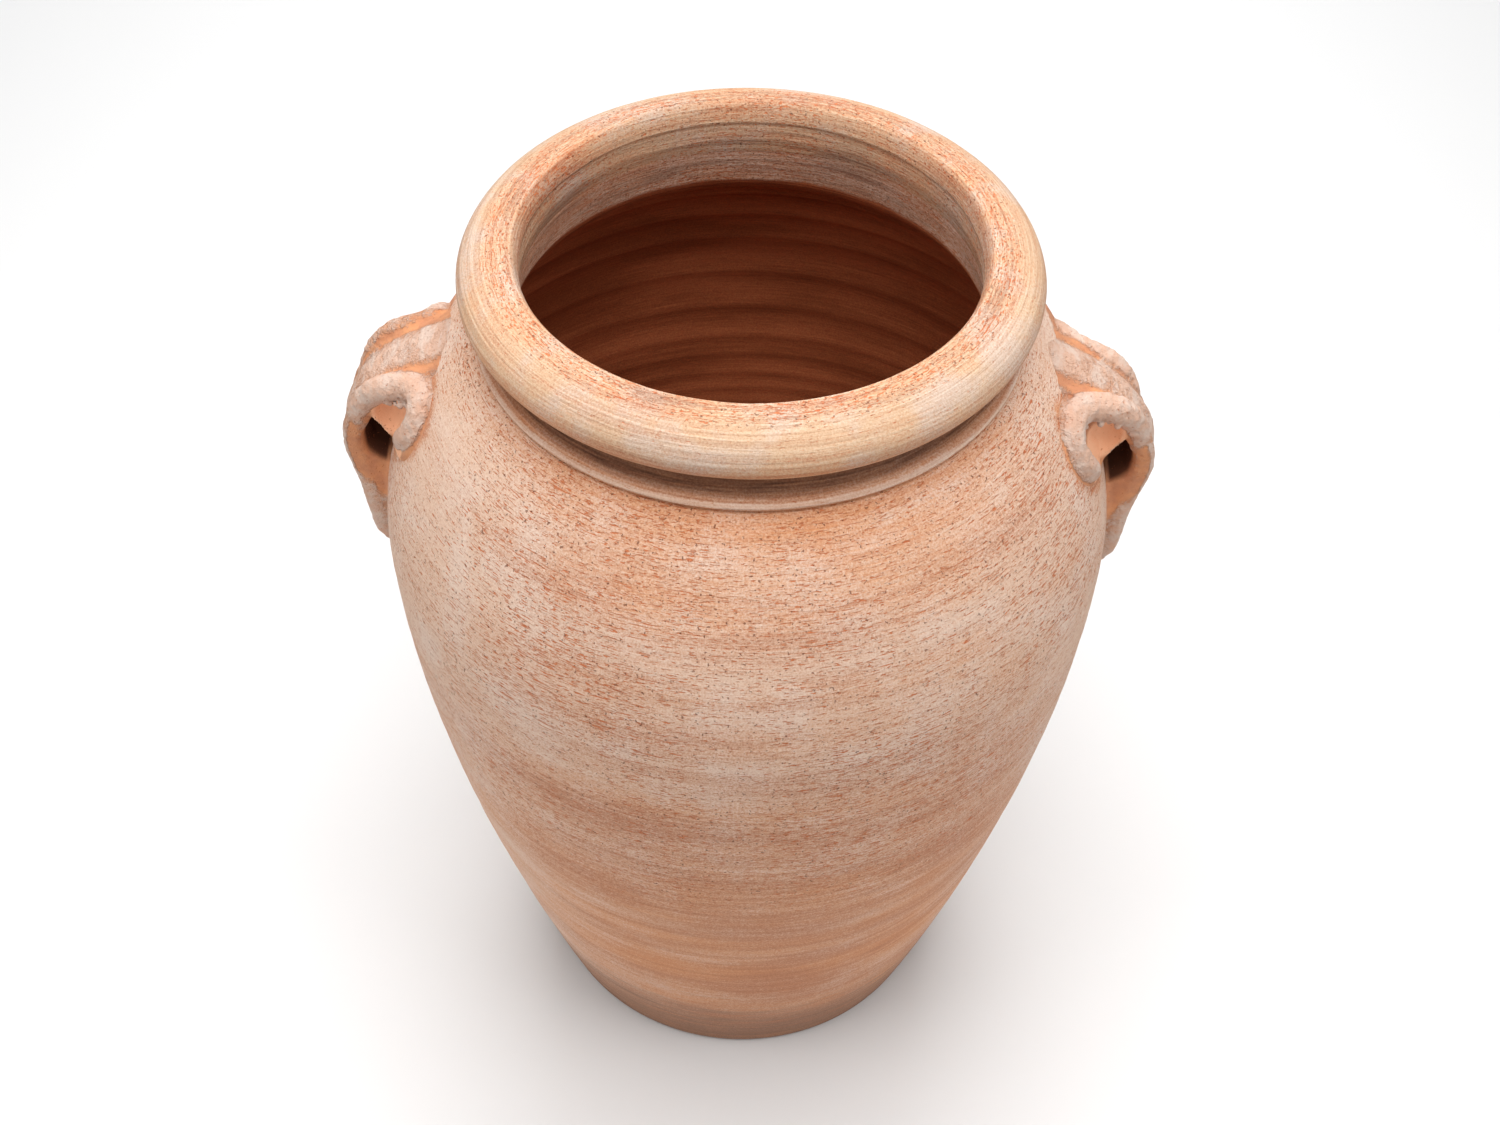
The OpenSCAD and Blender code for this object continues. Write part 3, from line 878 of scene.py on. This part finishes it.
def handle_piece(name):
    """One pulled and pressed handle, with masks for the bloom left on its ridges, the painted light in its
    thumb hollows and the painted shade deep in its finger hole.
    """
    axes, solid, masks = handle_solid(name)
    at, faces = skin(solid)
    slopes = np.stack(np.gradient(solid, GRID_STEP), -1)
    for _ in range(2):
        g = np.stack([sample(slopes[..., k], at) for k in range(3)], 1)
        at = at - 0.7 * (sample(solid, at) / np.maximum((g**2).sum(1), 0.2) / GRID_STEP)[:, None] * g
    normals = g / np.maximum(np.linalg.norm(g, axis=1), 1e-6)[:, None]
    points = at * GRID_STEP + [axes[0][0], axes[1][0], axes[2][0]]
    # Clay that stands out from its surroundings is pale, clay that lies deep is orange
    capped = np.clip(np.minimum(solid, masks["off"] + 0.6), -6, 6)
    ridge = sample(blurred(capped, 4), at) - sample(capped, at)
    fine_ridge = sample(blurred(capped, 2), at) - sample(capped, at)
    hollow, ring, s, out, off = (sample(masks[k], at) for k in ("hollow", "ring", "s", "out", "off"))
    aside, height = np.abs(points[:, 1]), points[:, 2]
    across = aside / np.interp(s, *STRAP_HALF)
    side_face = smooth(0.6, 0.85, np.abs(normals[:, 1])) * smooth(0.8, 2.2, ring) * smooth(3.8, 2.0, out)
    side_face = side_face * smooth(354, 366, height - 0.7 * out)
    under = smooth(-2.0, -4.5, out) * smooth(0.5, 2.5, ring) * smooth(344, 358, height)
    # The thumb hollows, whose bare orange clay is painted lighter as painted light
    in_hollow = smooth(1.16, 1.04, hollow) * smooth(0.2, 1.2, ring)
    groove = smooth(0.5, 0.85, across) * smooth(1.1, 0.9, across) * smooth(1.5, 3, out) * smooth(0.55, 0.4, s)
    groove = groove * smooth(0.2, 1.4, ring)
    if name == "handle_left":  # the hollow behind its middle rib is wide and bare
        wide = smooth(0.42, 0.62, across) * smooth(1.3, 1.15, across) * smooth(0.42, 0.3, s)
        groove = np.maximum(groove, wide * (points[:, 1] > 0) * smooth(1.0, 2.5, out))
    cover = 0.66 + 0.22 * ridge + 0.30 * fine_ridge
    cover = cover + 0.25 * smooth(1.5, 0.3, ring) * smooth(-0.2, 0.4, ridge)
    cover = cover - 0.85 * np.maximum.reduce([side_face, under, in_hollow, 0.8 * groove])
    # Clay deep in the finger hole, darkened as painted shade
    inside = smooth(15.5, 10.5, aside) * smooth(2.0, -1.0, out) * smooth(345, 356, height)
    inside = inside * smooth(0.6, 2.0, off)
    fields = {
        "bloom": np.clip(cover, -0.3, 1.2),
        "deep": inside,
        "pressed": in_hollow,
    }
    if name == "handle_left":
        points = points * (-1, 1, 1)
        faces = faces[:, ::-1]
        normals = normals * (-1, 1, 1)
    points[:, 0] = np.clip(points[:, 0], -HANDLE_LIMIT, HANDLE_LIMIT)
    obj = make_mesh(name + "_clay", points, [faces], normals[faces.ravel()], fields)
    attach(obj, "root")
    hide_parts(name)
    return obj


# ---- Materials ----


class Nodes:
    """A short way to build a material's nodes. Lengths are in metres."""

    def __init__(self, name):
        self.material = bpy.data.materials.new(name)
        self.material.use_nodes = True
        self.tree = self.material.node_tree
        self.shader = self.tree.nodes["Principled BSDF"]

    def put(self, socket, value):
        if isinstance(value, bpy.types.NodeSocket):
            self.tree.links.new(value, socket)
        else:
            socket.default_value = value

    def add(self, kind, **settings):
        node = self.tree.nodes.new(kind)
        for key, value in settings.items():
            setattr(node, key, value)
        return node

    def math(self, operation, a, b):
        node = self.add("ShaderNodeMath", operation=operation)
        self.put(node.inputs[0], a)
        self.put(node.inputs[1], b)
        return node.outputs[0]

    def plus(self, *terms):
        total = terms[0]
        for term in terms[1:]:
            total = self.math("ADD", total, term)
        return total

    def times(self, a, b):
        return self.math("MULTIPLY", a, b)

    def about(self, value, size):
        """A noise value round its middle, from about -size to size."""
        return self.times(self.math("SUBTRACT", value, 0.5), 2.0 * size)

    def vector(self, operation, a, b):
        node = self.add("ShaderNodeVectorMath", operation=operation)
        self.put(node.inputs[0], a)
        self.put(node.inputs[1], b)
        return node.outputs[0]

    def field(self, name):
        return self.add("ShaderNodeAttribute", attribute_name=name).outputs["Fac"]

    def noise(self, where, stretch, detail, roughness, shift):
        """Noise at points where, stretched by three factors and moved by shift."""
        where = self.vector("MULTIPLY", where, stretch)
        if shift:
            where = self.vector("ADD", where, (shift, shift, shift))
        node = self.add("ShaderNodeTexNoise")
        self.put(node.inputs["Vector"], where)
        node.inputs["Scale"].default_value = 1.0
        node.inputs["Detail"].default_value = detail
        node.inputs["Roughness"].default_value = roughness
        return node.outputs["Fac"]

    def even(self, size, detail, roughness, shift=0.0, stretch=(1, 1, 1)):
        """Noise in space, with features of a size in metres."""
        place = self.add("ShaderNodeNewGeometry").outputs["Position"]
        return self.noise(place, tuple(k / size for k in stretch), detail, roughness, shift)

    def step(self, value, low, high):
        """0 where value is under low, 1 where it is over high, smooth between. low may be the larger."""
        node = self.add("ShaderNodeMapRange", interpolation_type="SMOOTHSTEP")
        falling = low > high
        self.put(node.inputs["Value"], value)
        node.inputs["From Min"].default_value = min(low, high)
        node.inputs["From Max"].default_value = max(low, high)
        node.inputs["To Min"].default_value = 1.0 if falling else 0.0
        node.inputs["To Max"].default_value = 0.0 if falling else 1.0
        return node.outputs[0]

    def blend(self, amount, a, b, mode="MIX"):
        node = self.add("ShaderNodeMix", data_type="RGBA", blend_type=mode)
        self.put(node.inputs[0], amount)
        self.put(node.inputs[6], a)
        self.put(node.inputs[7], b)
        return node.outputs[2]

    def bump(self, height, depth):
        """Relief of a height field, from 0 to 1, that is depth metres high."""
        node = self.add("ShaderNodeBump")
        node.inputs["Distance"].default_value = depth
        self.put(node.inputs["Height"], height)
        return node.outputs[0]


def grey(value):
    return (value, value, value, 1)


ORANGE_CLAY = (0.69, 0.31, 0.148, 1)
BROWN_CLAY = (0.56, 0.245, 0.13, 1)
PINK_BLOOM = (0.77, 0.53, 0.395, 1)
CREAM_BLOOM = (0.60, 0.40, 0.258, 1)
WHITE_BLOOM = (0.79, 0.58, 0.46, 1)
DUSTY_BLOOM = (0.66, 0.42, 0.31, 1)
CRUST = (0.68, 0.51, 0.42, 1)
PALE_CREAM = (0.585, 0.435, 0.34, 1)
SCRATCH = (0.60, 0.18, 0.07, 1)
PIT = (0.22, 0.07, 0.035, 1)
DEEP_CLAY = (0.48, 0.14, 0.052, 1)
DARK_CLAY = (0.31, 0.082, 0.027, 1)
PRESSED_CLAY_PAINTED_LIGHT = (0.95, 0.52, 0.31, 1)
NECK_PAINTED_SHADE = (0.17, 0.075, 0.042, 1)
HOLE_PAINTED_SHADE = (0.10, 0.035, 0.017, 1)
GREY_GRIME_AND_SHADE = (0.37, 0.205, 0.135, 1)


def wheel_clay(name, cream, white=WHITE_BLOOM, turning=0.5):
    """Unglazed clay turned on the wheel: orange body, pale bloom wiped off in rings, scratches and pits.

    turning is how clearly the fine lines of the last turning show."""
    n = Nodes(name)
    place = n.add("ShaderNodeNewGeometry").outputs["Position"]
    flat = n.vector("NORMALIZE", n.vector("MULTIPLY", place, (1, 1, 0)), (0, 0, 0))
    split = n.add("ShaderNodeSeparateXYZ")
    n.put(split.inputs[0], flat)
    wound = n.add("ShaderNodeCombineXYZ")
    n.put(wound.inputs[0], split.outputs[0])
    n.put(wound.inputs[1], split.outputs[1])
    n.put(wound.inputs[2], n.field("along"))
    ring = wound.outputs[0]

    def turned(grip, pitch, detail, roughness, shift=0.0):
        """Noise stretched round the jar: grip features to a radian, pitch metres high."""
        return n.noise(ring, (grip, grip, 1 / pitch), detail, roughness, shift)

    grain = n.even(0.0009, 2, 0.65)
    sand = n.even(0.0019, 3, 0.65, 7)
    patch = n.even(0.028, 4, 0.55, 3)
    streak = turned(1.6, 0.0042, 4, 0.62)
    fine_streak = turned(7.0, 0.0010, 3, 0.62, 5)
    hair = turned(4.0, 0.0006, 2, 0.6, 41)
    broad = turned(1.1, 0.03, 3, 0.5, 11)
    dash = turned(44.0, 0.00062, 2, 0.55, 17)
    long_dash = turned(13.0, 0.0006, 2, 0.5, 23)
    dot = n.even(0.0015, 1, 0.5, 29)

    cover = n.plus(
        n.field("bloom"),
        n.about(streak, 0.44),
        n.about(fine_streak, 0.38),
        n.about(hair, 0.20),
        n.about(broad, 0.20),
        n.about(patch, 0.18),
        n.about(sand, 0.32),
        n.about(grain, 0.44),
    )
    cover = n.step(cover, -0.10, 1.10)
    clay = n.blend(n.step(n.plus(broad, n.about(streak, 0.3)), 0.35, 0.7), BROWN_CLAY, ORANGE_CLAY)
    clay = n.blend(n.field("halo"), clay, ORANGE_CLAY)
    bloom = n.blend(n.step(patch, 0.42, 0.66), cream, white)
    colour = n.blend(cover, clay, bloom)

    # Scratches dragged round by grit, denser in some places
    many = n.field("dashes")
    short = n.step(n.plus(dash, n.times(many, -0.13)), 0.33, 0.27)
    long = n.step(n.plus(long_dash, n.times(many, -0.11)), 0.28, 0.225)
    marks = n.math("MAXIMUM", short, long)
    marks = n.times(marks, n.step(many, 0.05, 0.3))
    colour = n.blend(n.times(marks, 0.95), colour, SCRATCH)
    pits = n.times(n.step(dot, 0.68, 0.74), n.step(many, 0.1, 0.7))
    colour = n.blend(n.times(pits, 0.75), colour, PIT)

    # Grey-brown: grime on the inner half of the rim's top, streaks stronger further down the mouth, and
    # painted shade in the step under the ridge and towards the foot
    grime_and_shade_cover = n.step(n.plus(n.field("grime_and_shade"), n.about(streak, 0.5), n.about(fine_streak, 0.4)), 0.25, 0.95)
    colour = n.blend(n.times(grime_and_shade_cover, n.step(n.field("grime_and_shade"), 0.0, 0.1)), colour, GREY_GRIME_AND_SHADE)
    # Painted shade under the rim's overhang: dark brown over the upper cove
    colour = n.blend(n.times(n.field("shaded"), n.plus(0.82, n.about(fine_streak, 0.5))), colour, NECK_PAINTED_SHADE)
    # The bare clay inside the jar, also laid as painted shade on the wall seen through the finger holes
    inner = n.blend(n.step(n.plus(broad, n.about(fine_streak, 0.2)), 0.35, 0.65), DARK_CLAY, DEEP_CLAY)
    colour = n.blend(n.field("deep"), colour, inner)
    lines = turned(1.4, 0.0011, 2, 0.6, 47)
    for amount, pattern in ((0.45, n.step(grain, 0.25, 0.75)), (turning, n.step(lines, 0.3, 0.7))):
        colour = n.blend(amount, colour, n.blend(pattern, grey(0.2), grey(0.8)), "SOFT_LIGHT")

    n.put(n.shader.inputs["Base Color"], colour)
    n.put(n.shader.inputs["Roughness"], n.plus(0.86, n.about(grain, 0.08), n.times(marks, 0.05)))
    n.shader.inputs["Specular IOR Level"].default_value = 0.25

    raised = n.plus(n.times(grain, 0.4), n.times(sand, 0.35), n.times(lines, turning))
    height = n.plus(raised, n.times(fine_streak, 0.6), n.times(marks, -0.4), n.times(pits, -0.9))
    height = n.times(height, n.math("SUBTRACT", 1.0, n.times(n.field("deep"), 0.6)))
    n.put(n.shader.inputs["Normal"], n.bump(height, 0.00045))
    return n.material


def hand_clay(name):
    """The same clay shaped by hand: orange where it was pressed, lightened there as painted light, crusted
    with pale bloom on the ridges, with painted shade deep in the finger hole.
    """
    n = Nodes(name)
    grain = n.even(0.0009, 2, 0.6)
    sand = n.even(0.0018, 3, 0.65, 7)
    patch = n.even(0.011, 4, 0.6, 3)
    smear = n.even(0.006, 3, 0.6, 13, (1, 0.35, 1))
    cover = n.plus(
        n.field("bloom"),
        n.about(patch, 0.40),
        n.about(smear, 0.22),
        n.about(sand, 0.42),
        n.about(grain, 0.30),
    )
    cover = n.step(cover, 0.10, 0.80)
    clay = n.blend(n.step(patch, 0.35, 0.65), BROWN_CLAY, ORANGE_CLAY)
    # Thumb hollows: the clay's own bare orange, painted brighter than the clay elsewhere as painted light
    clay = n.blend(n.field("pressed"), clay, PRESSED_CLAY_PAINTED_LIGHT)
    bloom = n.blend(n.step(smear, 0.4, 0.65), DUSTY_BLOOM, CRUST)
    colour = n.blend(cover, clay, bloom)
    # Painted shade deep in the finger hole
    colour = n.blend(n.field("deep"), colour, HOLE_PAINTED_SHADE)
    specks = n.step(n.even(0.0013, 1, 0.5, 29), 0.66, 0.76)
    colour = n.blend(n.times(specks, 0.6), colour, SCRATCH)
    colour = n.blend(0.35, colour, n.blend(grain, grey(0.25), grey(0.75)), "SOFT_LIGHT")
    n.put(n.shader.inputs["Base Color"], colour)
    n.put(n.shader.inputs["Roughness"], n.plus(0.84, n.about(grain, 0.08), n.times(cover, 0.05)))
    n.shader.inputs["Specular IOR Level"].default_value = 0.25
    crust = n.times(n.plus(n.times(sand, 0.8), n.times(grain, 0.45)), n.plus(0.35, n.times(cover, 0.75)))
    height = n.plus(crust, n.times(cover, 0.5), n.times(specks, -0.4))
    n.put(n.shader.inputs["Normal"], n.bump(height, 0.0009))
    return n.material


CLAYS = {
    "clay_body": wheel_clay("clay_body_turned", PINK_BLOOM, turning=0.16),
    "clay_neck": wheel_clay("clay_neck_turned", PINK_BLOOM),
    "clay_rim": wheel_clay("clay_rim_turned", CREAM_BLOOM, PALE_CREAM),
    "clay_handle": hand_clay("clay_handle_pressed"),
}
SLOTS = {
    "base_slab": "clay_body",
    "lower_wall": "clay_body",
    "belly_wall": "clay_body",
    "shoulder_wall": "clay_body",
    "neck_collar": "clay_neck",
    "rim_roll": "clay_rim",
    "handle_left": "clay_handle",
    "handle_right": "clay_handle",
}
for node, slot in SLOTS.items():
    piece = handle_piece(node) if node in CURLS else jar_piece(node)
    piece.data.materials.append(CLAYS[slot])


# ---- Studio: floor, lights, camera ----


def studio_floor():
    material = bpy.data.materials.new("floor")
    material.use_nodes = True
    shader = material.node_tree.nodes["Principled BSDF"]
    shader.inputs["Base Color"].default_value = grey(0.88)
    shader.inputs["Roughness"].default_value = 0.8
    shader.inputs["Specular IOR Level"].default_value = 0.2
    half = 6000.0  # mm, so that its edge is out of sight
    points = [(-half, -half, 0), (half, -half, 0), (half, half, 0), (-half, half, 0)]
    floor = make_mesh("floor", points, [np.array([[0, 1, 2, 3]])])
    floor.data.materials.append(material)


def soft_light(name, place, target, size, power):
    """A square lamp at a place, in metres, turned to a target."""
    data = bpy.data.lights.new(name, "AREA")
    data.shape = "SQUARE"
    data.size = size
    data.energy = power
    obj = bpy.data.objects.new(name, data)
    bpy.context.scene.collection.objects.link(obj)
    z = np.array(place, float) - np.array(target, float)
    z /= np.linalg.norm(z)
    x = np.cross((0, 1, 0.001), z)
    x /= np.linalg.norm(x)
    y = np.cross(z, x)
    turn = Matrix(((x[0], y[0], z[0]), (x[1], y[1], z[1]), (x[2], y[2], z[2]))).to_4x4()
    obj.matrix_world = Matrix.Translation(place) @ turn
    return obj


def studio_camera():
    """Looks down at the jar from the front, from about a metre away."""
    ring_z = ROLL_Z + 0.4
    distance, above = 928.0, math.radians(38.44)
    pitch, side, roll, yaw = (math.radians(a) for a in (46.75, 1.0, 1.02, 0.105))
    place = np.array(
        [
            distance * math.cos(above) * math.sin(side),
            -distance * math.cos(above) * math.cos(side),
            ring_z + distance * math.sin(above),
        ]
    )
    ahead = np.array([-math.sin(side) * math.cos(pitch), math.cos(side) * math.cos(pitch), -math.sin(pitch)])
    right = np.array([math.cos(side), math.sin(side), 0.0])
    up = np.cross(right, ahead)
    right, up = right * math.cos(roll) + up * math.sin(roll), up * math.cos(roll) - right * math.sin(roll)
    right, ahead = right * math.cos(yaw) - ahead * math.sin(yaw), ahead * math.cos(yaw) + right * math.sin(yaw)
    data = bpy.data.cameras.new("camera")
    data.sensor_width = 36.0
    data.lens = 48.65
    data.clip_start = 0.01
    camera = bpy.data.objects.new("camera", data)
    bpy.context.scene.collection.objects.link(camera)
    turn = Matrix([(right[i], up[i], -ahead[i]) for i in range(3)]).to_4x4()
    camera.matrix_world = Matrix.Translation(place * MM) @ turn
    bpy.context.scene.camera = camera


def studio():
    scene = bpy.context.scene
    scene.view_settings.view_transform = "Standard"
    world = bpy.data.worlds.new("studio")
    scene.world = world
    world.use_nodes = True
    background = world.node_tree.nodes["Background"]
    background.inputs["Color"].default_value = (1, 1, 1, 1)
    background.inputs["Strength"].default_value = 0.035
    soft_light("overhead", (0.0, -0.08, 1.7), (0, -0.05, 0), 1.4, 28)
    soft_light("front", (0.0, -1.0, 1.5), (0, -0.1, 0.4), 0.7, 4.0)
    soft_light("left", (-1.5, -0.6, 1.1), (0, 0, 0.35), 1.1, 7.5)
    soft_light("right", (1.5, -0.6, 1.1), (0, 0, 0.35), 1.1, 7.5)
    soft_light("behind", (0.0, 1.9, 1.5), (0, 1.3, 0), 1.6, 26)
    studio_floor()
    studio_camera()


studio()
